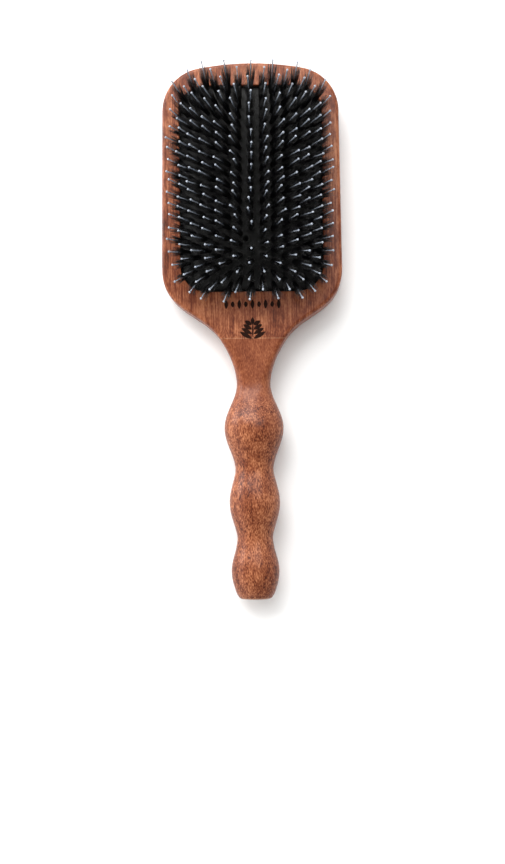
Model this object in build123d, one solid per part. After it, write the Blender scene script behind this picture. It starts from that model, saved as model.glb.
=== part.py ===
from build123d import *
from collections import namedtuple
import math
import os
import random

# A paddle hair brush: a one-piece wooden body, a domed rubber air cushion snapped into the head,
# and tufts of boar bristle set in the cushion, each round a ball-tipped nylon quill.
#
# The brush lies on its back. +Z points out of the bristles, +Y along the brush to the far end of the
# head, and the origin is on the flat back, under the middle of the cushion. Sizes are millimetres.

# ---- head: the cushion's opening and the wood round it
OPENING_WIDTH = 65.0
OPENING_LENGTH = 94.0
OPENING_CORNER = 12.0
SIDE_MARGIN = 8.7  # wood beside the opening, at the shoulders
FAR_MARGIN = 10.5  # wood beyond the opening, at the far end
NEAR_MARGIN = 21.3  # wood between the opening and the crease where the neck starts
HEAD_THICKNESS = 15.0
HEAD_TAPER = 0.65  # degrees that each side leans in towards the far end
CROWN_RADIUS = 130.0  # of the far end
FAR_CORNER = 20.0
SHOULDER_RUN = 32.4  # from the crease to the widest place
FLARE_REACH = 15.0  # handles of the curve from neck to shoulder
SHOULDER_REACH = 20.0
FRONT_ROUND = 1.6  # the arris round the face
BACK_ROUND = 2.0

# ---- handle: bulbs and waists in order from the butt
# run is the distance from the one before, low and high are its heights above the flat back, and
# fullness says how it swells out of the waists beside it: under 1 is fuller, over 1 is leaner.
Turned = namedtuple("Turned", "run width low high fullness")
BUTT_BULB = Turned(run=13.0, width=22.0, low=1.0, high=20.0, fullness=1.1)
LOWER_WAIST = Turned(run=15.5, width=16.4, low=3.3, high=17.7, fullness=None)
GRIP_BULB = Turned(run=15.8, width=23.2, low=0.6, high=20.4, fullness=0.72)
UPPER_WAIST = Turned(run=14.7, width=17.5, low=3.0, high=18.0, fullness=None)
THUMB_BULB = Turned(run=19.5, width=27.2, low=0.0, high=21.5, fullness=0.97)
NECK = Turned(run=20.3, width=15.5, low=1.8, high=14.6, fullness=None)
NECK_FLARE_RUN = 20.6  # from the narrowest place to the crease
CREASE_WIDTH = 30.2
BUTT_WIDTH = 14.6  # of the flat end, before its edge is rounded
BUTT_LOW, BUTT_HIGH = 4.6, 16.4
BUTT_ROUND = 1.2
ROUND_SECTION, NECK_SECTION, CREASE_SECTION = 2.1, 3.0, 12.0  # superellipse powers: 2 is an ellipse

# ---- pocket and cushion
POCKET_DEPTH = 8.0
LIP_DEPTH = 2.5  # wood over the cushion's bead
LIP_ROUND = 0.5
BEAD_HEIGHT = 2.4
GROOVE_DEPTH = 2.0  # how far the bead reaches under the lip
BEAD_INSIDE = 1.6  # how far the bead reaches inside the opening
DOME_INSIDE = 0.8  # from the lip to the foot of the dome
RUBBER = 1.0
DOME_RISE = 8.5  # crown above the bead
DOME_SPRING = 22.0  # across: out to here the dome curves, and beyond it falls straight
DOME_POWER = 4.6  # along: how late the dome turns down towards its ends
VENT_RADIUS = 0.8

# ---- tufts
COLUMNS = 13
ROWS = 19  # in every second column; the others sit half a pitch along and hold one fewer
SIDE_TO_ROOT = 4.0  # from the opening's side to the outer roots
END_TO_ROOT = 3.8
CORNER_TO_ROOT = 3.1
VENT_ROW = -5  # the place in the middle column that the vent takes
FAN_ACROSS = 1.4  # how the tufts' lean compares with the dome's slope where they stand
FAN_ALONG = 1.0  # and with its slope along the middle: the corner tufts lean out as far as the end ones
UNEVEN_LEAN = 3.2  # degrees that a tuft may stand off the fan's own lean, either way
QUILL_LENGTH = 19.0
QUILL_RADIUS = 0.27
BALL_RADIUS = 0.5
TUFT_LENGTH = 15.6
TUFT_ROOT_RADIUS = 1.05
TUFT_TIP_RADIUS = 1.45
TUFT_BORE_CLEARANCE = 0.04
STAND_OFF = 0.5  # between the rubber and the foot of a tuft
STAPLE_DROP = 1.1  # between the back of the rubber and a staple, which lies aslant to it in the corners
STAPLE_LENGTH, STAPLE_THICKNESS, STAPLE_HEIGHT = 3.0, 0.4, 1.1
STEEPEST_LEAN = 45.0  # degrees, for which the staples clear the rubber

# ---- how finely the curved shapes are drawn
FLARE_POWER = 1.8  # how late the neck widens towards the head
SQUARING_POWER = 1.5  # how late its section turns square
INSET = 0.03  # keeps the neck's end just inside the head's
SECTION_POINTS = 32
SECTIONS_PER_RUN, SECTIONS_IN_FLARE = 5, 8
BUTT_ROUND_SHARES = (0.0, 0.15, 0.5, 1.0)  # where sections stand along the butt's rounding
BUTT_BULB_SHARES = (0.4, 0.7)  # and from there to the middle of its bulb
DOME_OVERLAP = 0.5  # of the dome's sheet beyond the opening, before it is trimmed
DOME_STEPS = (16, 24)
SLOPE_STEP = 0.01  # over which a slope is taken
TOLERANCE = 0.01

# ---- places that follow from the sizes
HEAD_WIDTH = OPENING_WIDTH + 2 * SIDE_MARGIN
Y_FAR = OPENING_LENGTH / 2 + FAR_MARGIN
Y_CREASE = -OPENING_LENGTH / 2 - NEAR_MARGIN
FEATURES = [BUTT_BULB, LOWER_WAIST, GRIP_BULB, UPPER_WAIST, THUMB_BULB, NECK]
HANDLE_LENGTH = sum(f.run for f in FEATURES) + NECK_FLARE_RUN
Y_BUTT = Y_CREASE - HANDLE_LENGTH
Z_RIM = HEAD_THICKNESS - LIP_DEPTH
Z_FLOOR = HEAD_THICKNESS - POCKET_DEPTH
PITCH_ACROSS = (OPENING_WIDTH / 2 - SIDE_TO_ROOT) / (COLUMNS // 2)
PITCH_ALONG = (OPENING_LENGTH / 2 - END_TO_ROOT) / (ROWS // 2)


def export(shapes, name):
    """Writes one node: a single solid, or a group of separate ones."""
    shape = shapes if not isinstance(shapes, list) else Compound(children=shapes)
    shape.label = name
    export_step(shape, f"parts/{name}.step")


# ---- wooden body


def ease(start, end, t, fullness=1.0):
    """Half a cosine wave from start to end."""
    return start + (end - start) * ((1 - math.cos(math.pi * t)) / 2) ** fullness


def butt_section(s):
    """(half width, low, high) between the flat end and the middle of the butt bulb."""
    t = s / BUTT_BULB.run
    swell = 1 - (1 - t) ** 2
    near = max(0.0, 1 - s / BUTT_ROUND)
    rounding = BUTT_ROUND * (1 - math.sqrt(1 - near**2))
    half = BUTT_WIDTH / 2 + (BUTT_BULB.width - BUTT_WIDTH) / 2 * swell - rounding
    low = BUTT_LOW + (BUTT_BULB.low - BUTT_LOW) * swell + rounding
    high = BUTT_HIGH + (BUTT_BULB.high - BUTT_HIGH) * swell - rounding
    return half, low, high


def flare_section(t):
    """(half width, low, high) from the neck's narrowest place, t = 0, through the crease, t = 1."""
    half = NECK.width / 2 + (CREASE_WIDTH - NECK.width) / 2 * t**FLARE_POWER
    low = ease(NECK.low, INSET, min(t, 1))
    high = NECK.high + (HEAD_THICKNESS - INSET - NECK.high) * min(t, 1) ** FLARE_POWER
    return half, low, high


def handle_section(s):
    """(half width, low, high, superellipse power) at s from the butt."""
    if s <= BUTT_BULB.run:
        return *butt_section(s), ROUND_SECTION
    start = 0.0
    for before, after in zip(FEATURES, FEATURES[1:]):
        start += before.run
        if s <= start + after.run:
            t = (s - start) / after.run
            bulb, waist, u = (after, before, t) if after.fullness else (before, after, 1 - t)
            half = ease(waist.width, bulb.width, u, bulb.fullness) / 2
            low = ease(waist.low, bulb.low, u, bulb.fullness)
            high = ease(waist.high, bulb.high, u, bulb.fullness)
            power = ease(ROUND_SECTION, NECK_SECTION, t) if after is NECK else ROUND_SECTION
            return half, low, high, power
    t = (s - start - NECK.run) / NECK_FLARE_RUN
    power = NECK_SECTION + (CREASE_SECTION - NECK_SECTION) * min(t, 1) ** SQUARING_POWER
    return *flare_section(t), power


def section_face(s):
    """The handle's superellipse section at s from the butt, as a face across the brush."""
    half, low, high, power = handle_section(s)
    middle, rise = (low + high) / 2, (high - low) / 2
    points = []
    for k in range(SECTION_POINTS):
        turn = 2 * math.pi * k / SECTION_POINTS
        c, d = math.cos(turn), math.sin(turn)
        r = (abs(c) ** power + abs(d) ** power) ** (-1 / power)
        points.append((half * r * c, Y_BUTT + s, middle + rise * r * d))
    even = [k / SECTION_POINTS for k in range(SECTION_POINTS + 1)]
    edge = Edge.make_spline([Vector(p) for p in points], periodic=True, parameters=even)
    return Face(Wire([edge]))


def handle():
    """The turned handle and its squared neck, up to the crease."""
    stations = [BUTT_ROUND * share for share in BUTT_ROUND_SHARES]
    stations += [BUTT_BULB.run * share for share in BUTT_BULB_SHARES]
    start = 0.0
    for before, after in zip(FEATURES, FEATURES[1:]):
        start += before.run
        steps = range(SECTIONS_PER_RUN)
        stations += [start + after.run * k / SECTIONS_PER_RUN for k in steps]
    start += NECK.run
    steps = range(SECTIONS_IN_FLARE + 1)
    stations += [start + NECK_FLARE_RUN * k / SECTIONS_IN_FLARE for k in steps]
    return loft([section_face(s) for s in stations])


def head_outline():
    """The paddle's outline from the crease to the far end."""
    crease = CREASE_WIDTH / 2
    slope = math.atan(FLARE_POWER * (CREASE_WIDTH - NECK.width) / 2 / NECK_FLARE_RUN)
    shoulder = HEAD_WIDTH / 2
    y_shoulder = Y_CREASE + SHOULDER_RUN
    taper = math.radians(HEAD_TAPER)
    far = shoulder - (Y_FAR - y_shoulder) * math.tan(taper)
    y_side = Y_FAR - CROWN_RADIUS + math.sqrt(CROWN_RADIUS**2 - far**2)
    neck_handle = (crease + FLARE_REACH * math.sin(slope), Y_CREASE + FLARE_REACH * math.cos(slope))
    side_handle = (
        shoulder + SHOULDER_REACH * math.sin(taper),
        y_shoulder - SHOULDER_REACH * math.cos(taper),
    )
    right = Bezier((crease, Y_CREASE), neck_handle, side_handle, (shoulder, y_shoulder))
    side = Line((shoulder, y_shoulder), (far, y_side))
    crown = ThreePointArc((far, y_side), (0, Y_FAR), (-far, y_side))
    base = Line((-crease, Y_CREASE), (crease, Y_CREASE))
    left = [mirror(edge, about=Plane.YZ) for edge in (side, right)]
    outline = make_face([base, right, side, crown, *left])
    corners = outline.vertices().filter_by(lambda v: abs(v.Y - y_side) < TOLERANCE)
    return fillet(corners, FAR_CORNER)


def opening(grow=0.0):
    """The opening's outline, grown outwards or, if negative, inwards."""
    return RectangleRounded(
        OPENING_WIDTH + 2 * grow, OPENING_LENGTH + 2 * grow, OPENING_CORNER + grow
    )


def slab(outline, low, high):
    """An outline as a plate between two heights."""
    return extrude(Pos(0, 0, low) * outline, high - low)


def head():
    """The paddle with its pocket, and the groove that holds the cushion's bead under a lip."""
    plate = slab(head_outline(), 0, HEAD_THICKNESS)
    rim = plate.edges().filter_by(lambda e: e.center().Y > Y_CREASE + TOLERANCE)
    plate = fillet(rim.filter_by_position(Axis.Z, 0, 0), BACK_ROUND)
    rim = plate.edges().filter_by_position(Axis.Z, HEAD_THICKNESS, HEAD_THICKNESS)
    plate = fillet(rim.filter_by(lambda e: e.center().Y > Y_CREASE + TOLERANCE), FRONT_ROUND)
    plate -= slab(opening(), Z_FLOOR, HEAD_THICKNESS)
    lip = plate.edges().filter_by_position(Axis.Z, HEAD_THICKNESS, HEAD_THICKNESS)
    lip = lip.filter_by(
        lambda e: abs(e.center().X) < OPENING_WIDTH / 2 + TOLERANCE
        and abs(e.center().Y) < OPENING_LENGTH / 2 + TOLERANCE
    )
    plate = fillet(lip, LIP_ROUND)
    return plate - slab(opening(GROOVE_DEPTH), Z_RIM - BEAD_HEIGHT, Z_RIM)


def wooden_body():
    return head() + handle()


# ---- cushion


def across_profile(x):
    """The dome's height across its middle, as a share of its rise."""
    quarter = math.pi / 2
    curved = DOME_SPRING / quarter
    total = curved + OPENING_WIDTH / 2 - DOME_SPRING
    x = abs(x)
    if x > DOME_SPRING:
        return 1 - (curved + x - DOME_SPRING) / total
    return 1 - curved * (1 - math.cos(quarter * x / DOME_SPRING)) / total


def along_profile(y):
    """The dome's height along its middle, as a share of its rise."""
    return 1 - (abs(y) / (OPENING_LENGTH / 2)) ** DOME_POWER


def dome_top(x, y):
    return Z_RIM + DOME_RISE * across_profile(x) * along_profile(y)


def dome_slopes(x, y):
    """How steeply the dome falls across at a point, and along at the same distance down its middle."""
    step = SLOPE_STEP
    across = (dome_top(x - step, y) - dome_top(x + step, y)) / (2 * step)
    along = (dome_top(0, y - step) - dome_top(0, y + step)) / (2 * step)
    return across, along


def dome():
    """The bare domed sheet, trimmed where it stands on the bead."""
    reach_x, reach_y = OPENING_WIDTH / 2 + DOME_OVERLAP, OPENING_LENGTH / 2 + DOME_OVERLAP
    steps_x, steps_y = DOME_STEPS
    grid = []
    for j in range(steps_y + 1):
        y = reach_y * (2 * j / steps_y - 1)
        xs = [reach_x * (2 * i / steps_x - 1) for i in range(steps_x + 1)]
        grid.append([(x, y, dome_top(x, y)) for x in xs])
    top = Face.make_surface_from_array_of_points(grid)
    sheet = Solid.extrude(top, Vector(0, 0, -RUBBER))
    return (Part() + sheet) & slab(opening(-DOME_INSIDE), Z_FLOOR, Z_RIM + 2 * DOME_RISE)


def rubber_cushion():
    """The dome with its bead and its vent."""
    bead = slab(opening(GROOVE_DEPTH), Z_RIM - BEAD_HEIGHT, Z_RIM)
    bead -= slab(opening(-BEAD_INSIDE), Z_RIM - BEAD_HEIGHT, Z_RIM)
    x, y = vent_place()
    vent = Pos(x, y, dome_top(x, y)) * Cylinder(VENT_RADIUS, 4 * RUBBER)
    return dome() + bead - vent


# ---- tufts


def vent_place():
    """The vent stands half a pitch to the left of the place that has no tuft."""
    return -PITCH_ACROSS / 2, VENT_ROW * PITCH_ALONG


def holds_root(x, y):
    """Whether a root is far enough inside the opening's rounded corners."""
    corner = OPENING_CORNER - CORNER_TO_ROOT
    dx = abs(x) - (OPENING_WIDTH / 2 - OPENING_CORNER)
    dy = abs(y) - (OPENING_LENGTH / 2 - OPENING_CORNER)
    return dx <= 0 or dy <= 0 or math.hypot(dx, dy) <= corner


def root_places(column):
    """Where the tufts of one column stand, each with its lean."""
    i = column - COLUMNS // 2
    x = i * PITCH_ACROSS
    staggered = i % 2
    rows = [k + 0.5 * staggered for k in range(-(ROWS // 2), ROWS // 2 + 1 - staggered)]
    places = []
    for row in rows:
        y = row * PITCH_ALONG
        vent = i == 0 and row == VENT_ROW
        if vent or not holds_root(x, y):
            continue
        across, along = dome_slopes(x, y)
        uneven = random.Random(f"{column} {row}")
        off_x, off_y = (uneven.uniform(-UNEVEN_LEAN, UNEVEN_LEAN) for _ in range(2))
        lean_x = math.degrees(math.atan(FAN_ACROSS * across)) + off_x
        lean_y = math.degrees(math.atan(FAN_ALONG * along)) + off_y
        places.append(Pos(x, y, dome_top(x, y)) * Rot(-lean_y, lean_x, 0))
    return places


def columns():
    return [root_places(column) for column in range(COLUMNS)]


def quill():
    """A nylon quill that ends in a ball, standing over the rubber's surface at z = 0."""
    z_ball = QUILL_LENGTH - BALL_RADIUS
    z_neck = z_ball - math.sqrt(BALL_RADIUS**2 - QUILL_RADIUS**2)
    outline = [
        Line((0, 0, STAND_OFF), (QUILL_RADIUS, 0, STAND_OFF)),
        Line((QUILL_RADIUS, 0, STAND_OFF), (QUILL_RADIUS, 0, z_neck)),
        ThreePointArc((QUILL_RADIUS, 0, z_neck), (BALL_RADIUS, 0, z_ball), (0, 0, QUILL_LENGTH)),
        Line((0, 0, QUILL_LENGTH), (0, 0, STAND_OFF)),
    ]
    return revolve(make_face(outline), Axis.Z)


def tuft():
    """One tuft's envelope: tight where the rubber grips it, spreading to its tips round the quill."""
    bore = QUILL_RADIUS + TUFT_BORE_CLEARANCE
    grip = 2 * RUBBER
    outline = Polyline(
        (bore, 0, STAND_OFF),
        (TUFT_ROOT_RADIUS, 0, STAND_OFF),
        (TUFT_ROOT_RADIUS, 0, grip),
        (TUFT_TIP_RADIUS, 0, TUFT_LENGTH),
        (bore, 0, TUFT_LENGTH),
        close=True,
    )
    return revolve(make_face(outline), Axis.Z)


def staple():
    """The flat strip that a tuft is folded over, behind the rubber."""
    top = -STAPLE_DROP - RUBBER / math.cos(math.radians(STEEPEST_LEAN))
    return Pos(0, 0, top - STAPLE_HEIGHT / 2) * Box(
        STAPLE_THICKNESS, STAPLE_LENGTH, STAPLE_HEIGHT
    )


def main():
    os.makedirs("parts", exist_ok=True)
    export(wooden_body(), "wooden_body")
    export(rubber_cushion(), "rubber_cushion")
    pieces = {"nylon_quills": quill(), "boar_tufts": tuft(), "tuft_staples": staple()}
    for number, places in enumerate(columns(), start=1):
        for name, piece in pieces.items():
            export([place * piece for place in places], f"{name}_{number:02d}")
        print(f"column {number}: {len(places)} tufts")
    print(f"overall length {Y_FAR - Y_BUTT:.1f}, width {HEAD_WIDTH:.1f}")


main()
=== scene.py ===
# %% [markdown]
# # A wooden paddle brush, dressed in cells
# The brush comes from CAD as a frame of plain solids, in metres. It lies on its back: +Z points out of
# the bristles and +Y along the brush to the far end of the head. Each solid rides on a body that can
# move, and this lesson never moves them. It gives them finishes, and builds what CAD leaves plain: the
# tufts, the rubber and the mark. We could model the whole brush again here, but then its sizes could
# drift, so every place below is measured on the frame.

import math

import bmesh
import bpy
import numpy as np
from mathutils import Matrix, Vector
from mathutils.bvhtree import BVHTree


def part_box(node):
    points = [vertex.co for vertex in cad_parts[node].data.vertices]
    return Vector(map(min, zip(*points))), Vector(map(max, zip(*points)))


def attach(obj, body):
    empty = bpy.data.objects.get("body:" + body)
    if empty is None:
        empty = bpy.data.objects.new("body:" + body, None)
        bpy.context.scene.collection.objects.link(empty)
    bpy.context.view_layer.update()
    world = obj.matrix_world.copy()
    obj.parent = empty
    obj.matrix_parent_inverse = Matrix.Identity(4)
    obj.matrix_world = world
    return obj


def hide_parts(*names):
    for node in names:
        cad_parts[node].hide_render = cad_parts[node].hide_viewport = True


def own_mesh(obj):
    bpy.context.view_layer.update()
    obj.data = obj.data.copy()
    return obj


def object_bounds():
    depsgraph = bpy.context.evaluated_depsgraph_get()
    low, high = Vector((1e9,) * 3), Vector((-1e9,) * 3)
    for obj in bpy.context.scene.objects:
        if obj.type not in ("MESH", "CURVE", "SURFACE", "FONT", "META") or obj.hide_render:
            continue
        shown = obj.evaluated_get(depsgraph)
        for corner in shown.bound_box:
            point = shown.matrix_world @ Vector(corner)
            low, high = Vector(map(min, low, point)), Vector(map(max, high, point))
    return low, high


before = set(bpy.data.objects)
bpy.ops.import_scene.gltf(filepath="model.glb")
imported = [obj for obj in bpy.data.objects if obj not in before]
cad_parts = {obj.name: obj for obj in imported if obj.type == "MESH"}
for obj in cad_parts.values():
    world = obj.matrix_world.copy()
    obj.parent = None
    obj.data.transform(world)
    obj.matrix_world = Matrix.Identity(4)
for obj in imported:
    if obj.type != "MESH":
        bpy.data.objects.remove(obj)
cad_low, cad_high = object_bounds()
MM = 0.001
columns = sorted(name[-2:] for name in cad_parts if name.startswith("nylon_quills"))
print("columns of tufts:", len(columns), "- length, mm:", round((cad_high - cad_low).y / MM, 1))

# %% [markdown]
# ## Measuring the frame
# To find an edge or a height we cast a ray at a solid and read where it lands. The face is flat at the
# far end of the head, so a ray straight down there gives its height. Level rays from the middle, just
# under the face, stop at the sides of the cushion's opening, and a slanting one gives the radius of its
# corners.

# %% Measure the face, the opening and the crease
DOWN = Vector((0, 0, -1))
ABOVE = cad_high.z + 10 * MM
UNDER_FACE = 1.5 * MM
FROM_CORNER = 20 * MM
INSIDE_EDGE = 5 * MM  # clear of the rounded arris at the far end, and of the opening
FLAT = 0.02 * MM  # a fall that small is still the flat face
STEP = 0.1 * MM


def surface(name):
    """A CAD node's surface, ready to have rays cast at it."""
    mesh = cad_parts[name].data
    return BVHTree.FromPolygons([v.co for v in mesh.vertices], [p.vertices for p in mesh.polygons])


wood = surface("wooden_body")


def wood_height(x, y):
    """How high the wood stands at a place, or None beside it."""
    place = wood.ray_cast(Vector((x, y, ABOVE)), DOWN)[0]
    return place and place.z


face_z = wood_height(0, cad_high.y - INSIDE_EDGE)
level = face_z - UNDER_FACE
half_width = wood.ray_cast(Vector((0, 0, level)), Vector((1, 0, 0)))[3]
half_length = wood.ray_cast(Vector((0, 0, level)), Vector((0, 1, 0)))[3]
start = Vector((half_width - FROM_CORNER, half_length - FROM_CORNER, level))
slant = wood.ray_cast(start, Vector((1, 1, 0)).normalized())[3]
corner = (FROM_CORNER * math.sqrt(2) - slant) / (math.sqrt(2) - 1)
crease_y = -half_length - INSIDE_EDGE
while wood_height(0, crease_y) > face_z - FLAT:
    crease_y -= STEP
for title, size in [("face height", face_z), ("opening", 2 * half_width), ("by", 2 * half_length)]:
    print(title, round(size / MM, 2), "mm")
print("corner", round(corner / MM, 2), "mm, crease at", round(crease_y / MM, 2), "mm")

# %% [markdown]
# ## Finding each quill
# A node holds a whole column of quills. Their places are in its mesh, so we take the mesh apart into
# loose islands. Each island is long and thin, and the direction in which its points spread most is the
# quill's axis.

# %% Read the axis of every quill


WELD = 1e-7  # corners closer than that are one


def islands(name):
    """The separate solids of a CAD node, each as an array of its corners, in order along the brush."""
    mesh = bmesh.new()
    mesh.from_mesh(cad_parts[name].data)
    bmesh.ops.remove_doubles(mesh, verts=mesh.verts, dist=WELD)
    mesh.verts.index_update()
    seen, found = set(), []
    for first in mesh.verts:
        if first.index in seen:
            continue
        seen.add(first.index)
        fresh, group = [first], []
        while fresh:
            vert = fresh.pop()
            group.append(tuple(vert.co))
            for edge in vert.link_edges:
                other = edge.other_vert(vert)
                if other.index not in seen:
                    seen.add(other.index)
                    fresh.append(other)
        found.append(np.array(group))
    mesh.free()
    return sorted(found, key=lambda points: points[:, 1].mean())


def axis_of(points):
    """(foot, unit direction, length) of a long thin solid that stands on the cushion."""
    middle = points.mean(0)
    direction = np.linalg.svd(points - middle, full_matrices=False)[2][0]
    direction *= np.sign(direction[2])
    along = (points - middle) @ direction
    return middle + direction * along.min(), direction, np.ptp(along)


quills = {n: [axis_of(solid) for solid in islands(f"nylon_quills_{n}")] for n in columns}
envelopes = {n: [axis_of(solid) for solid in islands(f"boar_tufts_{n}")] for n in columns}
tuft_length = envelopes[columns[0]][0][2]
print("tufts:", sum(map(len, quills.values())), "- tuft length, mm:", round(tuft_length / MM, 2))

# %% [markdown]
# ## One function for nodes, one for colours
# A material is a small graph. One function adds a node, sets its own settings, fills its sockets and
# links it. Colours are written as on a paint chart, in sRGB hex, and Blender shades with linear numbers,
# so a second function turns one into the other.

# %% Helpers for finishes


def linear(chart):
    """The linear colour of an sRGB hex one."""
    parts = [int(chart[k : k + 2], 16) / 255 for k in (1, 3, 5)]
    return (*[c / 12.92 if c <= 0.04045 else ((c + 0.055) / 1.055) ** 2.4 for c in parts], 1.0)


def add(tree, kind, values=None, links=None, stops=(), **settings):
    """Adds a node: settings are its own, values and links go to its sockets, and stops to a colour ramp."""
    made = tree.nodes.new("ShaderNode" + kind)
    for name, value in settings.items():
        setattr(made, name, value)
    for socket, value in (values or {}).items():
        made.inputs[socket].default_value = value
    for socket, source in (links or {}).items():
        tree.links.new(source, made.inputs[socket])
    for index, (place, colour) in enumerate(stops):
        ramp = made.color_ramp.elements
        stop = ramp[index] if index < 2 else ramp.new(place)
        stop.position = place
        stop.color = linear(colour)
    return made


def new_finish(name, **sockets):
    """A material with the values of its shader's own sockets."""
    finish = bpy.data.materials.new(name)
    finish.use_nodes = True
    shader = finish.node_tree.nodes["Principled BSDF"]
    for socket, value in sockets.items():
        shader.inputs[socket.replace("_", " ")].default_value = value
    print("finish:", name)
    return finish, finish.node_tree, shader


def streaks(tree, place, across, along, detail=2.0):
    """A pattern of streaks, along the brush, of about that width and length."""
    stretch = add(tree, "Mapping", {"Scale": (1 / across, 1 / along, 1 / across)}, {"Vector": place})
    noise = add(tree, "TexNoise", {"Scale": 1.0, "Detail": detail}, {"Vector": stretch.outputs[0]})
    return noise.outputs["Fac"]


print("the sRGB grey #808080 is", round(linear("#808080")[0], 3), "in linear numbers")

# %% [markdown]
# ## Stained beech under clear lacquer
# Beech is a close, pale wood with short dark flecks, the ends of its rays, along the grain. Here it is
# stained reddish brown, turned or sawn, sanded and sprayed with clear lacquer. To the eye that gives a
# mottled colour with fine lengthwise streaks, under a thin gloss that draws small highlights. An image of
# wood would need unwrapping and would slide over the bulbs. Noise that fills space is cut by the turned
# shape as real wood is. The turned handle shows mostly the short flecks and the sawn head mostly the long
# fibres, so the shares of the two change near the crease. Lacquer is a coat with a typical IOR of 1.5,
# and its gloss is kept low.

# %% Mix the wood's tones
FIBRE_WIDTH, FIBRE_LENGTH = 0.55 * MM, 11.0 * MM  # real fibres are finer and would not show
FLECK_WIDTH, FLECK_LENGTH = 0.42 * MM, 1.3 * MM
MOTTLE_WIDTH, MOTTLE_LENGTH = 2.2 * MM, 4.5 * MM
BOARD_WIDTH, BOARD_LENGTH = 11.0 * MM, 26.0 * MM
RING = 2.4 * MM  # between growth rings
RING_SCALE = 2 * math.pi / 20  # at this scale a wave texture repeats once in each unit
HEART = (1.5, 0.0, 22.0)  # where the middle of the log lies, in rings
FLECK_ON_HANDLE, FLECK_ON_HEAD = 1.15, 0.35  # how strongly each pattern shows
FIBRE_ON_HANDLE, FIBRE_ON_HEAD = 0.3, 0.7
MOTTLE_SHARE, BOARD_SHARE, RING_SHARE = 0.4, 0.35, 0.07
TURNED_UP_TO, SAWN_FROM = crease_y - 4 * MM, crease_y + 8 * MM

beech, tree, shader = new_finish("lacquered_stained_beech", IOR=1.5, Coat_Weight=0.25)
shader.inputs["Coat Roughness"].default_value = 0.24
shader.inputs["Specular IOR Level"].default_value = 0.12
place = add(tree, "TexCoord").outputs["Object"]
fibre = streaks(tree, place, FIBRE_WIDTH, FIBRE_LENGTH, 3.0)
fleck = streaks(tree, place, FLECK_WIDTH, FLECK_LENGTH, 2.0)
mottle = streaks(tree, place, MOTTLE_WIDTH, MOTTLE_LENGTH, 2.0)
board = streaks(tree, place, BOARD_WIDTH, BOARD_LENGTH, 1.0)
stretch = {"Location": HEART, "Scale": (1 / RING, 0.05 / RING, 1 / RING)}
log = add(tree, "Mapping", stretch, {"Vector": place})
waves = {"Scale": RING_SCALE, "Distortion": 2.4, "Detail": 2.0, "Detail Scale": 1.2}
rings = add(tree, "TexWave", waves, {"Vector": log.outputs[0]}, wave_type="RINGS", rings_direction="Y")
along = add(tree, "SeparateXYZ", links={"Vector": place}).outputs["Y"]
spans = {"From Min": TURNED_UP_TO, "From Max": SAWN_FROM}
sawn = add(tree, "MapRange", spans, {"Value": along}).outputs[0]
spans = {"To Min": FLECK_ON_HANDLE, "To Max": FLECK_ON_HEAD}
fleck_share = add(tree, "MapRange", spans, {"Value": sawn}).outputs[0]
spans = {"To Min": FIBRE_ON_HANDLE, "To Max": FIBRE_ON_HEAD}
fibre_share = add(tree, "MapRange", spans, {"Value": sawn}).outputs[0]
tone = None
patterns = [
    (fleck, fleck_share),
    (fibre, fibre_share),
    (mottle, MOTTLE_SHARE),
    (board, BOARD_SHARE),
    (rings.outputs["Fac"], RING_SHARE),
]
for pattern, share in patterns:
    centred = add(tree, "Math", {1: 0.5}, {0: pattern}, operation="SUBTRACT").outputs[0]
    part = add(tree, "Math", {2: 0.5}, {0: centred}, operation="MULTIPLY_ADD")
    if isinstance(share, float):
        part.inputs[1].default_value = share
    else:
        tree.links.new(share, part.inputs[1])
    if tone:
        part.inputs[2].default_value = 0.0
        part = add(tree, "Math", links={0: part.outputs[0], 1: tone}, operation="ADD")
    tone = part.outputs[0]
print("patterns mixed:", len(patterns))

# %% [markdown]
# The neck is cut with the flat side of a tool and looks calmer than the head and the bulbs, so its
# patterns are weaker there. Along the crease, where the face ends, a pale line is painted in as the
# highlight on its ridge, broken up by the mottle. The wood is also paler towards the rim of the butt.

# %% Calm the neck, paint a highlight along the crease and pale the rim of the butt
NECK_LENGTH = 26 * MM
NECK_BLEND, CREASE_BLEND = 6 * MM, 0.5 * MM  # over which the patterns come back
NECK_CONTRAST = 0.45
CREASE_HIGHLIGHT_REACH, CREASE_HIGHLIGHT_STRENGTH = 0.35 * MM, 0.7  # how far the painted highlight on the crease reaches, and how strong it is
# how far the paler rim of the butt reaches, and how pale it gets
BUTT_PALE_REACH, BUTT_PALE_STRENGTH = 0.9 * MM, 0.5
# The ramp's two ends come first, and the stops between them after.
STAIN = [(0.2, "#3c1a0d"), (0.8, "#b37450"), (0.39, "#632e1a"), (0.5, "#7b4229"), (0.61, "#925739")]
# the pale tone of the painted crease highlight and of the butt's rim
PALE_BEECH = "#c4936f"

spans = {"From Min": crease_y - NECK_LENGTH, "From Max": crease_y - NECK_LENGTH - NECK_BLEND}
lower = add(tree, "MapRange", spans, {"Value": along}, interpolation_type="SMOOTHSTEP")
spans = {"From Min": crease_y - CREASE_BLEND, "From Max": crease_y}
upper = add(tree, "MapRange", spans, {"Value": along}, interpolation_type="SMOOTHSTEP")
outside = add(tree, "Math", links={0: lower.outputs[0], 1: upper.outputs[0]}, operation="MAXIMUM")
contrast = add(tree, "MapRange", {"To Min": NECK_CONTRAST}, {"Value": outside.outputs[0]})
centred = add(tree, "Math", {1: 0.5}, {0: tone}, operation="SUBTRACT")
scaled = add(
    tree,
    "Math",
    {2: 0.5},
    {0: centred.outputs[0], 1: contrast.outputs[0]},
    operation="MULTIPLY_ADD",
)
stain = add(
    tree,
    "ValToRGB",
    links={"Fac": scaled.outputs[0]},
    stops=STAIN,
)
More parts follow.
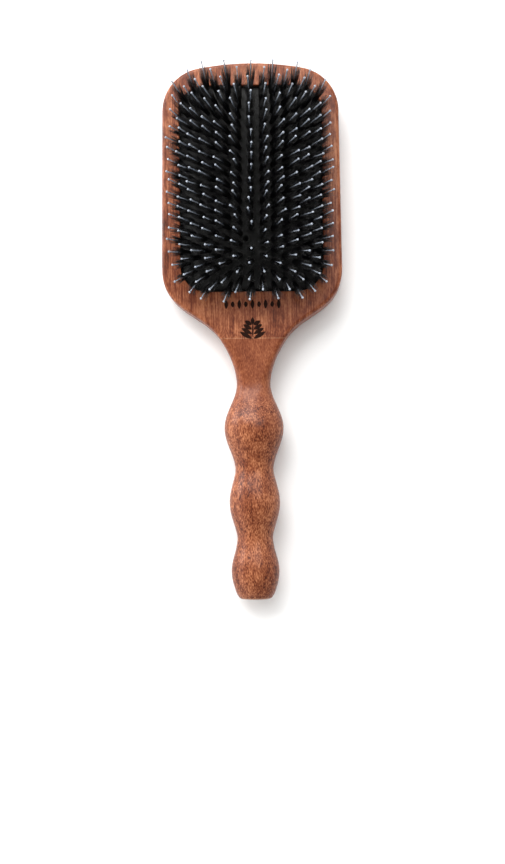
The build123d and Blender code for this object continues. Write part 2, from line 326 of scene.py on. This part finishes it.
# a painted highlight: a pale line along the ridge of the crease, broken up by the mottle
from_crease = add(tree, "Math", {1: crease_y}, {0: along}, operation="SUBTRACT")
gap = add(tree, "Math", links={0: from_crease.outputs[0]}, operation="ABSOLUTE")
spans = {"From Min": CREASE_HIGHLIGHT_REACH, "From Max": 0.0, "To Max": CREASE_HIGHLIGHT_STRENGTH}
line = add(tree, "MapRange", spans, {"Value": gap.outputs[0]})
patchy_crease_highlight = add(tree, "Math", links={0: line.outputs[0], 1: mottle}, operation="MULTIPLY")
# paler towards the rim of the butt
spans = {"From Min": cad_low.y + BUTT_PALE_REACH, "From Max": cad_low.y, "To Max": BUTT_PALE_STRENGTH}
rim = add(tree, "MapRange", spans, {"Value": along})
crease_highlight_and_pale_rim = add(tree, "Math", links={0: patchy_crease_highlight.outputs[0], 1: rim.outputs[0]}, operation="MAXIMUM")
stain_with_highlight_and_rim = add(
    tree,
    "Mix",
    {7: linear(PALE_BEECH)},
    {0: crease_highlight_and_pale_rim.outputs[0], 6: stain.outputs[0]},
    data_type="RGBA",
)
tree.links.new(stain_with_highlight_and_rim.outputs[2], shader.inputs["Base Color"])
dull = add(tree, "MapRange", {"To Min": 0.52, "To Max": 0.36}, {"Value": fleck})
tree.links.new(dull.outputs[0], shader.inputs["Roughness"])
pores = add(tree, "Bump", {"Strength": 0.6, "Distance": 0.12 * MM}, {"Height": fleck})
tree.links.new(pores.outputs[0], shader.inputs["Normal"])
print("nodes in the beech:", len(tree.nodes))

# %% [markdown]
# ## Black rubber, nylon, boar bristle, steel and burned wood
# The cushion is natural rubber, moulded in a blasted steel tool: matt, near black, with a fine pebbling.
# The quills are extruded nylon, milky and half clear, so light shows through their balls. Boar bristle is
# keratin, like hair: almost black, with a soft sheen and brown in some of the tips. The staples are plain
# drawn steel strip. The mark is scorched into the wood with a hot die, which leaves dull char with a
# brown edge.

# %% The other finishes
PEBBLE = 0.35 * MM  # the real blasting is finer and would not show
CLOUD = 1.2 * MM
BRISTLE_TINT = 1.6 * MM
DRAW_WIDTH, DRAW_LENGTH = 0.05 * MM, 1.5 * MM
CHAR_GRAIN = 0.5 * MM

rubber_finish, tree, shader = new_finish("moulded_black_rubber", IOR=1.52, Roughness=0.7)
shader.inputs["Specular IOR Level"].default_value = 0.3
place = add(tree, "TexCoord").outputs["Object"]
pebble = streaks(tree, place, PEBBLE, PEBBLE)
shades = add(tree, "ValToRGB", links={"Fac": pebble}, stops=[(0.3, "#0a0a09"), (0.7, "#141412")])
tree.links.new(shades.outputs[0], shader.inputs["Base Color"])
bump = add(tree, "Bump", {"Strength": 0.35, "Distance": 0.05 * MM}, {"Height": pebble})
tree.links.new(bump.outputs[0], shader.inputs["Normal"])

nylon, tree, shader = new_finish("extruded_clear_nylon", IOR=1.53, Transmission_Weight=0.5)
place = add(tree, "TexCoord").outputs["Object"]
cloud = streaks(tree, place, CLOUD, CLOUD)
shades = add(tree, "ValToRGB", links={"Fac": cloud}, stops=[(0.35, "#9fa8b5"), (0.65, "#d0d8e3")])
tree.links.new(shades.outputs[0], shader.inputs["Base Color"])
frost = add(tree, "MapRange", {"To Min": 0.14, "To Max": 0.32}, {"Value": cloud})
tree.links.new(frost.outputs[0], shader.inputs["Roughness"])

boar, tree, shader = new_finish("dyed_boar_bristle", IOR=1.55, Roughness=0.44)
place = add(tree, "TexCoord").outputs["Object"]
tint = streaks(tree, place, BRISTLE_TINT, BRISTLE_TINT)
tints = [(0.35, "#080808"), (0.75, "#241e1a"), (0.55, "#0f0f10")]
shades = add(tree, "ValToRGB", links={"Fac": tint}, stops=tints)
tree.links.new(shades.outputs[0], shader.inputs["Base Color"])

steel, tree, shader = new_finish("drawn_steel_strip", Metallic=1.0)
place = add(tree, "TexCoord").outputs["Object"]
drawn = streaks(tree, place, DRAW_WIDTH, DRAW_LENGTH)
shades = add(tree, "ValToRGB", links={"Fac": drawn}, stops=[(0.3, "#9a9a96"), (0.7, "#c4c4c0")])
tree.links.new(shades.outputs[0], shader.inputs["Base Color"])
polish = add(tree, "MapRange", {"To Min": 0.25, "To Max": 0.45}, {"Value": drawn})
tree.links.new(polish.outputs[0], shader.inputs["Roughness"])

char, tree, shader = new_finish("burned_beech", IOR=1.5, Roughness=0.8)
shader.inputs["Specular IOR Level"].default_value = 0.08
place = add(tree, "TexCoord").outputs["Object"]
scorch = streaks(tree, place, CHAR_GRAIN, 3 * CHAR_GRAIN)
shades = add(tree, "ValToRGB", links={"Fac": scorch}, stops=[(0.3, "#120805"), (0.7, "#2b150c")])
tree.links.new(shades.outputs[0], shader.inputs["Base Color"])

# %% [markdown]
# ## Putting the finishes on
# The wood, the quills and the staples stay as CAD made them and only get a finish. The rubber and the
# tufts get theirs too, though new pieces will stand in for them, so that no solid is ever left bare.

# %% Finish the CAD solids


def paint(name, finish):
    """Gives a CAD node a finish, and changes nothing else on it."""
    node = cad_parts[name]
    if not node.material_slots:
        node.data.materials.append(finish)
    for slot in node.material_slots:
        slot.material = finish


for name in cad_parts:
    kind = name.rstrip("0123456789_")
    finishes = {"wooden_body": beech, "nylon_quills": nylon, "tuft_staples": steel}
    finishes.update({"rubber_cushion": rubber_finish, "boar_tufts": boar})
    paint(name, finishes[kind])
print("painted", len(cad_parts), "solids")

# %% [markdown]
# ## The rubber cushion
# The real cushion is a moulded sheet with a thick collar round each hole, which grips the tuft, and a
# bare vent that lets the air out. The CAD sheet is smooth, so we build a finer one over it. A subdivided
# plane with sculpted collars would need a hand at every tuft. A grid whose heights come from rays and
# from the distance to the nearest tuft does it in one sweep. Grid points past the rounded corners are
# pulled back to the outline.

# %% Lay a grid over the opening
GRID = 0.5 * MM
FOOT = 0.8 * MM  # from the opening to the foot of the dome
SMOOTHING = 12
CLEAR_OF_EDGE = 2 * MM


def past_outline(x, y, inset):
    """Signed distance outside the opening's outline moved inwards, and the nearest way out."""
    radius = corner - inset
    dx = np.abs(x) - (half_width - inset - radius)
    dy = np.abs(y) - (half_length - inset - radius)
    reach = np.hypot(np.maximum(dx, 0), np.maximum(dy, 0))
    distance = reach + np.minimum(np.maximum(dx, dy), 0) - radius
    scale = np.where(reach > 0, 1 / np.maximum(reach, 1e-9), 0)
    out_x = np.sign(x) * np.maximum(dx, 0) * scale
    out_y = np.sign(y) * np.maximum(dy, 0) * scale
    return distance, out_x, out_y


across = math.ceil((half_width - FOOT) / GRID)
lengthwise = math.ceil((half_length - FOOT) / GRID)
xs = np.linspace(-half_width + FOOT, half_width - FOOT, 2 * across + 1)
ys = np.linspace(-half_length + FOOT, half_length - FOOT, 2 * lengthwise + 1)
x, y = np.meshgrid(xs, ys, indexing="ij")
beyond, out_x, out_y = past_outline(x, y, FOOT)
inside = beyond < 1e-9
x = x - out_x * np.maximum(beyond, 0)
y = y - out_y * np.maximum(beyond, 0)
cells = inside[:-1, :-1] | inside[1:, :-1] | inside[:-1, 1:] | inside[1:, 1:]
print("grid:", x.shape, "cells kept:", int(cells.sum()))

# %% [markdown]
# The dome's heights are read from the CAD rubber. A ray over the vent passes through its hole, which is
# how we find the vent. The heights missing there are filled from their neighbours, and a little smoothing
# takes off the flats of the CAD mesh.

# %% Read the dome's height
rubber = surface("rubber_cushion")
rubber_low, rubber_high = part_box("rubber_cushion")


def dome_height(px, py):
    """The height of the CAD dome at a place; over the vent the ray passes through, which gives None."""
    place = rubber.ray_cast(Vector((px, py, ABOVE)), DOWN)[0]
    return place and place.z


inward = 1 - STEP / half_width
heights = [dome_height(px * inward, py * inward) for px, py in zip(x.ravel(), y.ravel())]
missed = np.array([h is None for h in heights]).reshape(x.shape)
clear = missed & (past_outline(x, y, FOOT)[0] < -CLEAR_OF_EDGE)
vent = np.array([x[clear].mean(), y[clear].mean()])
z = np.array([np.nan if h is None else h for h in heights]).reshape(x.shape)
while np.isnan(z).any():
    padded = np.pad(z, 1, constant_values=np.nan)
    beside = np.stack([padded[2:, 1:-1], padded[:-2, 1:-1], padded[1:-1, 2:], padded[1:-1, :-2]])
    known = ~np.isnan(beside)
    mean = np.nansum(beside, 0) / np.maximum(known.sum(0), 1)
    z = np.where(np.isnan(z) & known.any(0), mean, z)
for _ in range(SMOOTHING):
    z[1:-1, 1:-1] = (z[2:, 1:-1] + z[:-2, 1:-1] + z[1:-1, 2:] + z[1:-1, :-2]) / 4
print("vent at, mm:", (vent / MM).round(2), "- crown at, mm:", round(z.max() / MM, 2))

# %% [markdown]
# Each tuft stands in a low collar: a flat plug out to the collar's radius, then a soft slope. The collars
# fade out at the foot of the dome. The vent is a small dimple with a rim, deep enough to look like a
# hole.

# %% Raise the collars and sink the vent
SHEET = 1.0 * MM
COLLAR_RADIUS, COLLAR_WIDTH, COLLAR_HEIGHT = 1.35 * MM, 0.45 * MM, 0.4 * MM
COLLAR_FADE = 1.5 * MM
VENT_RADIUS, VENT_RIM, VENT_DEPTH, VENT_HEIGHT = 0.8 * MM, 1.6 * MM, 2.6 * MM, 0.6 * MM
VENT_WALL = 0.4 * MM
FAR_AWAY = 1.0

roots = np.array([foot[:2] for n in columns for foot, _, _ in quills[n]])
nearest = np.full(x.shape, FAR_AWAY)
for root_x, root_y in roots:
    nearest = np.minimum(nearest, np.hypot(x - root_x, y - root_y))
edge = np.clip(-past_outline(x, y, FOOT)[0] / COLLAR_FADE, 0, 1)
ring = np.exp(-(((nearest - COLLAR_RADIUS) / COLLAR_WIDTH) ** 2))
plug = np.where(nearest < COLLAR_RADIUS, 1.0, ring)
top = z + COLLAR_HEIGHT * plug * edge
from_vent = np.hypot(x - vent[0], y - vent[1])
top += VENT_HEIGHT * np.exp(-(((from_vent - VENT_RIM) / COLLAR_WIDTH) ** 2))
top -= VENT_DEPTH * np.clip((VENT_RADIUS + VENT_WALL / 2 - from_vent) / VENT_WALL, 0, 1)
print("highest collar, mm:", round(top.max() / MM, 2))

# %% [markdown]
# The sheet is closed: the same grid again, one thickness lower, and a wall along its edge. The bead,
# which snaps under the wooden lip, is a separate closed ring of rubber round the foot of the dome.

# %% Close the sheet and add the bead
BEAD_INSIDE = 1.6 * MM
BEAD_STEPS = 24  # in each rounded corner


def new_piece(name, points, faces, finish, body):
    """A new mesh object, shaded smooth, that rides on a body of the frame."""
    mesh = bpy.data.meshes.new(name)
    mesh.from_pydata(np.asarray(points).tolist(), [], np.asarray(faces).tolist())
    mesh.shade_smooth()
    mesh.materials.append(finish)
    piece = bpy.data.objects.new(name, mesh)
    bpy.context.scene.collection.objects.link(piece)
    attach(piece, body)
    print(name, "faces:", len(mesh.polygons))
    return piece


def outline(inset):
    """Points of the opening's outline, moved inwards, all the way round."""
    radius = corner - inset
    points = []
    for quarter in range(4):
        side_x = 1 if quarter in (0, 3) else -1
        side_y = 1 if quarter in (0, 1) else -1
        for step in range(BEAD_STEPS + 1):
            turn = math.pi / 2 * (quarter + step / BEAD_STEPS)
            px = side_x * (half_width - corner) + radius * math.cos(turn)
            py = side_y * (half_length - corner) + radius * math.sin(turn)
            points.append((px, py))
    return points


size = x.size
upper = np.stack([x, y, top], -1).reshape(-1, 3)
lower = np.stack([x, y, top - SHEET], -1).reshape(-1, 3)
number = np.arange(size).reshape(x.shape)
corners = [number[:-1, :-1], number[1:, :-1], number[1:, 1:], number[:-1, 1:]]
quads = np.stack([c[cells] for c in corners], -1)
sides = np.concatenate([quads[:, [k, (k + 1) % 4]] for k in range(4)])
keys = {(int(a), int(b)) for a, b in sides}
rim_edges = [(int(a), int(b)) for a, b in sides if (int(b), int(a)) not in keys]
walls = [(b, a, a + size, b + size) for a, b in rim_edges]
faces = quads.tolist() + (quads[:, ::-1] + size).tolist() + walls

groove = half_width - rubber_high.x  # how far the bead reaches past the opening, as a negative inset
rim_z = z[inside].min()
inner, outer = outline(BEAD_INSIDE), outline(groove)
count = len(inner)
levels = [(inner, rubber_low.z), (outer, rubber_low.z), (outer, rim_z), (inner, rim_z)]
bead = np.array([(px, py, pz) for loop, pz in levels for px, py in loop])
first = 2 * size
for loop in range(4):
    following = (loop + 1) % 4
    for k in range(count):
        after = (k + 1) % count
        near = [first + loop * count + k, first + loop * count + after]
        far = [first + following * count + after, first + following * count + k]
        faces.append(near + far)
used = np.unique(np.array(faces))
renumbered = np.zeros(first + 4 * count, int)
renumbered[used] = np.arange(len(used))
points = np.concatenate([upper, lower, bead])[used]
cushion = new_piece(
    "rubber_cushion_sheet",
    points,
    renumbered[np.array(faces)],
    rubber_finish,
    "brush_body",
)
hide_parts("rubber_cushion")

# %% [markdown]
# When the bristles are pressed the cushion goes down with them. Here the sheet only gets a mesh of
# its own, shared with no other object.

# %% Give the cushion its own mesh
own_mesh(cushion)

# %% [markdown]
# ## Tufts of boar bristle
# A real tuft is some tens of bristles of unlike length, folded over the staple and pulled tight in the
# rubber, from where they spread round the quill. Each is folded in the middle, so two ends stand up. A
# hair system would draw them, but it is not a mesh, and it would not ride with the column. So each end is
# a thin tapered tube of four sides, bent a little, and all those of one column are one mesh. They are
# about 0.2 mm thick at the foot.

# %% Grow the tufts
BRISTLES = 86  # ends that stand up in each tuft
RINGS, SIDES = 5, 4
ROOT_RADIUS = 0.9 * MM
SPREAD = 2.4 * MM  # of the outer tips
THICKNESS = 0.11 * MM  # from the middle of a bristle to its corners
SUNK = 1.2 * MM  # how far the feet go down into the rubber
SHORTEST, LONGEST = 0.66, 1.06  # as shares of the CAD tuft, whose tips are level
HOLLOW = 0.3  # share of the spread that stays open round the quill
UNEVEN_REACH, UNEVEN_THICKNESS = (0.7, 1.15), (0.8, 1.15)
UNEVEN_TURN = 0.25  # radians
BEND = 0.32 * MM
LATE_SPREAD = 1.4  # over 1 spreads a bristle mostly towards its tip
TAPER = 0.6
GOLDEN = math.pi * (3 - math.sqrt(5))


def tuft(foot, axis, seeded):
    """The corners of one tuft's bristles, as an array of bristles, rings, sides and coordinates."""
    side = np.cross(axis, (0, 1, 0))
    side /= np.linalg.norm(side)
    other = np.cross(axis, side)
    turn = np.arange(BRISTLES) * GOLDEN + seeded.uniform(0, 2 * math.pi)
    turn = turn + seeded.normal(0, UNEVEN_TURN, BRISTLES)
    share = np.sqrt((np.arange(BRISTLES) + 0.5) / BRISTLES)
    reach = (HOLLOW + (1 - HOLLOW) * share) * SPREAD * seeded.uniform(*UNEVEN_REACH, BRISTLES)
    length = tuft_length * seeded.uniform(SHORTEST, LONGEST, BRISTLES)
    bend = seeded.normal(0, BEND, BRISTLES)
    step = np.linspace(0, 1, RINGS)[None, :]
    spread = step**LATE_SPREAD
    radial = ROOT_RADIUS * share[:, None] * (1 - spread) + reach[:, None] * spread
    sideways = bend[:, None] * step**2
    out = np.cos(turn)[:, None, None] * side + np.sin(turn)[:, None, None] * other
    round_about = -np.sin(turn)[:, None, None] * side + np.cos(turn)[:, None, None] * other
    up = -SUNK + step * (length[:, None] + SUNK)
    line = foot + up[..., None] * axis + radial[..., None] * out + sideways[..., None] * round_about
    thick = THICKNESS * (1 - TAPER * step) * seeded.uniform(*UNEVEN_THICKNESS, BRISTLES)[:, None]
    corner_turn = np.arange(SIDES) * 2 * math.pi / SIDES
    offsets = np.cos(corner_turn)[:, None] * side + np.sin(corner_turn)[:, None] * other
    return line[:, :, None, :] + thick[:, :, None, None] * offsets


def tube_faces():
    """The faces of one bristle: its sides, its foot and its tip."""
    faces = []
    for ring in range(RINGS - 1):
        for side in range(SIDES):
            a, b = ring * SIDES + side, ring * SIDES + (side + 1) % SIDES
            faces.append([a, a + SIDES, b + SIDES, b])
    last = (RINGS - 1) * SIDES
    faces.append(list(range(SIDES)))
    faces.append([last + k for k in range(SIDES)][::-1])
    return np.array(faces)


one = tube_faces()
for n in columns:
    seeded = np.random.default_rng(int(n))
    tufts = np.concatenate([tuft(foot, axis, seeded) for foot, axis, _ in quills[n]])
    starts = np.arange(len(tufts)) * RINGS * SIDES
    faces = (starts[:, None, None] + one[None]).reshape(-1, SIDES)
    piece = new_piece(
        f"boar_bristles_{n}", tufts.reshape(-1, 3), faces, boar, f"bristles_{n}"
    )
    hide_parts(f"boar_tufts_{n}")

# %% [markdown]
# ## A burned mark
# Brushes like this carry a mark on the shoulder, burned in with a die. This one is a plain sprig of
# leaves with a row of small leaves above it. A painted mask could draw it, but its edge would blur, so
# every leaf is a thin plate that lies just proud of the wood, dropped onto it by rays, so that it follows
# the crease.

# %% Draw the leaves
LEAF_STEPS = 10
PROUD, BURIED = 0.04 * MM, 0.15 * MM
ROW_LEAVES, ROW_PITCH = 9, 3.0 * MM
ROW_FROM_OPENING = 5.9 * MM
TALL_LEAF, LOW_LEAF, ROW_LEAF_WIDTH = 4.2 * MM, 2.8 * MM, 1.7 * MM
LEAF_FULLNESS = 0.8  # under 1 is fuller
SPRIG_PAIRS = 4
SPRIG_FROM_CREASE = 1.2 * MM
FIRST_PAIR, PAIR_PITCH = 1.0 * MM, 2.1 * MM
PAIR_LENGTH, PAIR_SHORTER, PAIR_WIDTH = 6.4 * MM, 0.9 * MM, 1.9 * MM
PAIR_ASIDE, PAIR_HEADING = 0.35 * MM, math.radians(60)
END_LEAF_AT, END_LEAF_LENGTH, END_LEAF_WIDTH = 7.4 * MM, 3.4 * MM, 1.8 * MM
STALK_LENGTH, STALK_WIDTH = 9.0 * MM, 0.6 * MM


def leaf(x, y, heading, length, width):
    """Points round a pointed leaf that starts at a place and grows along a heading."""
    points = []
    for k in range(2 * LEAF_STEPS):
        share = k / LEAF_STEPS if k <= LEAF_STEPS else 2 - k / LEAF_STEPS
        side = 1 if k <= LEAF_STEPS else -1
        along, aside = length * share, side * width / 2 * math.sin(math.pi * share) ** LEAF_FULLNESS
        px = x + along * math.sin(heading) + aside * math.cos(heading)
        py = y + along * math.cos(heading) - aside * math.sin(heading)
        points.append((px, py))
    return points


leaves = []
row_y = -half_length - ROW_FROM_OPENING
for k in range(ROW_LEAVES):
    row_x = (k - (ROW_LEAVES - 1) / 2) * ROW_PITCH
    tall = TALL_LEAF if k % 2 == 0 else LOW_LEAF
    leaves.append(leaf(row_x, row_y - tall / 2, 0.0, tall, ROW_LEAF_WIDTH))
foot_y = crease_y - SPRIG_FROM_CREASE
for pair in range(SPRIG_PAIRS):
    from_y = foot_y + FIRST_PAIR + PAIR_PITCH * pair
    reach = PAIR_LENGTH - PAIR_SHORTER * pair
    for side in (-1, 1):
        leaves.append(leaf(side * PAIR_ASIDE, from_y, side * PAIR_HEADING, reach, PAIR_WIDTH))
leaves.append(leaf(0.0, foot_y + END_LEAF_AT, 0.0, END_LEAF_LENGTH, END_LEAF_WIDTH))
leaves.append(leaf(0.0, foot_y, 0.0, STALK_LENGTH, STALK_WIDTH))

points, faces = [], []
for shape in leaves:
    start, count = len(points), len(shape)
    for lift in (PROUD, -BURIED):
        points += [(px, py, wood_height(px, py) + lift) for px, py in shape]
    faces.append([start + count - 1 - k for k in range(count)])
    faces.append([start + count + k for k in range(count)])
    for k in range(count):
        after = (k + 1) % count
        faces.append([start + k, start + after, start + count + after, start + count + k])
mesh = bpy.data.meshes.new("burned_leaf_mark")
mesh.from_pydata(points, [], faces)
mesh.materials.append(char)
mark = bpy.data.objects.new("burned_leaf_mark", mesh)
bpy.context.scene.collection.objects.link(mark)
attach(mark, "brush_body")
print("leaves:", len(leaves))

# %% [markdown]
# ## Floor and light
# A pale, matt floor and soft light keep the eye on the brush. A wide lamp beyond the far end, to the
# left, gives the bulbs their bright upper sides and lets the bristles shade the wood below the cushion.
# Two weaker ones, at the left and overhead to the right, lift the shade on the wood. A white world fills
# the rest. It is bright all round and dim overhead, because a bright ceiling would lie on the lacquer as
# a grey veil, and it is brighter on the side of the big lamp.

# %% Lay the floor and hang the lights
FLOOR = 6.0
UNDER_BRUSH = 0.05 * MM
WINDOW = {"place": (-0.3, 0.75, 0.95), "size": 0.8, "watts": 14.8}
CEILING_BOUNCE = {"place": (0.25, 0.35, 1.1), "size": 0.6, "watts": 3.8}
LEFT_REFLECTOR = {"place": (-0.7, 0.3, 0.3), "size": 0.5, "watts": 4.0}
LIT_SIDE = Vector((-0.8, 0.6, 0.0))

mesh = bpy.data.meshes.new("floor")
half = FLOOR / 2
floor_z = cad_low.z - UNDER_BRUSH
corners = [(-half, -half), (half, -half), (half, half), (-half, half)]
mesh.from_pydata([(px, py, floor_z) for px, py in corners], [], [(0, 1, 2, 3)])
paper, tree, shader = new_finish("matt_white_card", Roughness=0.9)
shader.inputs["Base Color"].default_value = linear("#f7f7f6")
shader.inputs["Specular IOR Level"].default_value = 0.1
mesh.materials.append(paper)
floor = bpy.data.objects.new("floor", mesh)
bpy.context.scene.collection.objects.link(floor)


def lamp(name, target, place, size, watts):
    """A square soft light that points at a target."""
    light = bpy.data.lights.new(name, "AREA")
    light.shape = "SQUARE"
    light.size = size
    light.energy = watts
    holder = bpy.data.objects.new(name, light)
    holder.location = place
    holder.rotation_euler = (Vector(target) - Vector(place)).to_track_quat("-Z", "Y").to_euler()
    bpy.context.scene.collection.objects.link(holder)


middle = (cad_low + cad_high) / 2
lamp("window", middle, **WINDOW)
lamp("ceiling_bounce", middle, **CEILING_BOUNCE)
lamp("left_reflector", middle, **LEFT_REFLECTOR)
world = bpy.data.worlds.new("studio")
bpy.context.scene.world = world
world.use_nodes = True
tree = world.node_tree
toward = add(tree, "TexCoord").outputs["Generated"]
height = add(tree, "SeparateXYZ", links={"Vector": toward}).outputs["Z"]
spans = {"From Min": 0.35, "From Max": 0.92, "To Min": 1.65, "To Max": 0.2}
glow = add(tree, "MapRange", spans, {"Value": height}, interpolation_type="SMOOTHSTEP")
facing = add(tree, "VectorMath", {1: LIT_SIDE}, {0: toward}, operation="DOT_PRODUCT").outputs["Value"]
spans = {"From Min": -1.0, "From Max": 1.0, "To Min": 0.4, "To Max": 1.5}
shade = add(tree, "MapRange", spans, {"Value": facing})
strength = add(tree, "Math", links={0: glow.outputs[0], 1: shade.outputs[0]}, operation="MULTIPLY")
tree.nodes["Background"].inputs["Color"].default_value = linear("#ffffff")
tree.links.new(strength.outputs[0], tree.nodes["Background"].inputs["Strength"])
bpy.context.scene.view_settings.view_transform = "Standard"
print("lights and floor are in")

# %% [markdown]
# ## Camera
# The camera looks straight down on the handle. Its lens follows from how far it is and how much of the
# brush's plane it takes in. The brush lies a little off straight, so the camera is turned and shifted to
# match.

# %% Set up the camera
HANDLE_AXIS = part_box("wooden_body")[1].z / 2
DISTANCE = 0.585
LONG_SIDE = 0.397  # how much of the brush's plane the picture's long side takes in
TILT = -0.63  # degrees that the brush lies off straight
SENSOR = 36.0  # millimetres, as on a full-frame camera
SHIFT_ACROSS, SHIFT_ALONG = -0.0411, 0.0440  # as shares of the sensor
CAMERA_ACROSS, CAMERA_ALONG = 15.4 * MM, -128.7 * MM

camera = bpy.data.cameras.new("camera")
camera.sensor_width = SENSOR
camera.lens = camera.sensor_width * DISTANCE / LONG_SIDE
camera.shift_x = SHIFT_ACROSS
camera.shift_y = SHIFT_ALONG
viewer = bpy.data.objects.new("camera", camera)
viewer.location = (CAMERA_ACROSS, CAMERA_ALONG, HANDLE_AXIS + DISTANCE)
viewer.rotation_euler = (0, 0, math.radians(TILT))
bpy.context.scene.collection.objects.link(viewer)
bpy.context.scene.camera = viewer
print("lens, mm:", round(camera.lens, 1))
